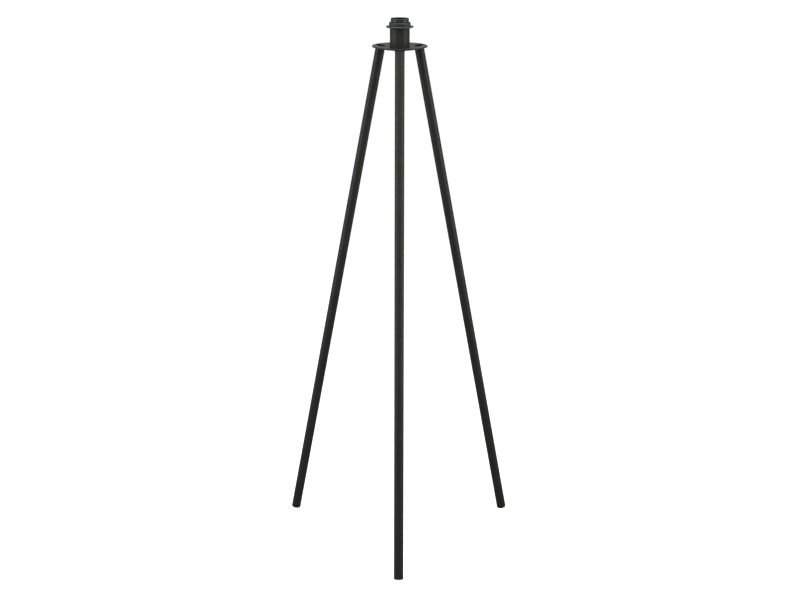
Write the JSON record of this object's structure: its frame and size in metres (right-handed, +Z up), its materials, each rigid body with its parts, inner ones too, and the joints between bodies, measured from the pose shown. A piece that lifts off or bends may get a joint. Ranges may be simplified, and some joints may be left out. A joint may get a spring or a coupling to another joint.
{
  "type": "tripod floor lamp base",
  "caption": "Black tripod floor lamp base: splayed steel tube legs under a dished round head plate that carries a lampholder with a shade ring.",
  "frame": {"origin": "on the floor, below the middle of the overall box; the stand's upright axis is at x = 0, y = 0.06753 m, because one foot points to -Y and two to +Y", "axes": "+Z up; one leg splays towards -Y, one towards +X and +Y, one towards -X and +Y"},
  "size_m": [0.488, 0.4254, 1.1256],
  "materials": {
    "black_coat": "satin black powder coat on steel",
    "cap_plastic": "matt black moulded plastic",
    "holder_plastic": "satin black heat-resistant moulded plastic",
    "nickel_shell": "bright nickel-plated sheet",
    "contact_brass": "plain brass and phosphor bronze",
    "block_plastic": "cream heat-resistant insulating moulding",
    "zinc_steel": "zinc-plated steel"
  },
  "bodies": {
    "stand": {"head_plate": "black_coat", "leg_front": "black_coat", "leg_left": "black_coat", "leg_right": "black_coat", "leg_welds": "black_coat", "foot_cap_front": "cap_plastic", "foot_cap_left": "cap_plastic", "foot_cap_right": "cap_plastic", "holder_cover": "black_coat", "holder_base": "holder_plastic", "holder_skirt": "holder_plastic", "screw_shell": "nickel_shell", "shell_rivets": "contact_brass", "contact_block": "block_plastic", "side_contact": "contact_brass", "terminal_clamps": "contact_brass", "terminal_screws": "zinc_steel", "base_lock_screw": "zinc_steel", "threaded_nipple": "zinc_steel", "nipple_nut": "zinc_steel", "lock_washer": "zinc_steel", "cover_washer": "zinc_steel", "cable_bush": "holder_plastic"},
    "shade_ring": {"shade_ring": "holder_plastic"},
    "centre_contact": {"centre_contact": "contact_brass"}
  },
  "joints": [
    {"name": "shade_ring_lift", "type": "slide", "parent": "stand", "child": "shade_ring", "axis": [0, 0, 1], "range_m": [0, 0.035]},
    {"name": "contact_press", "type": "slide", "parent": "stand", "child": "centre_contact", "axis": [0, 0, -1], "range_m": [0, 0.0015], "stiffness_N_per_m": 4000}
  ]
}
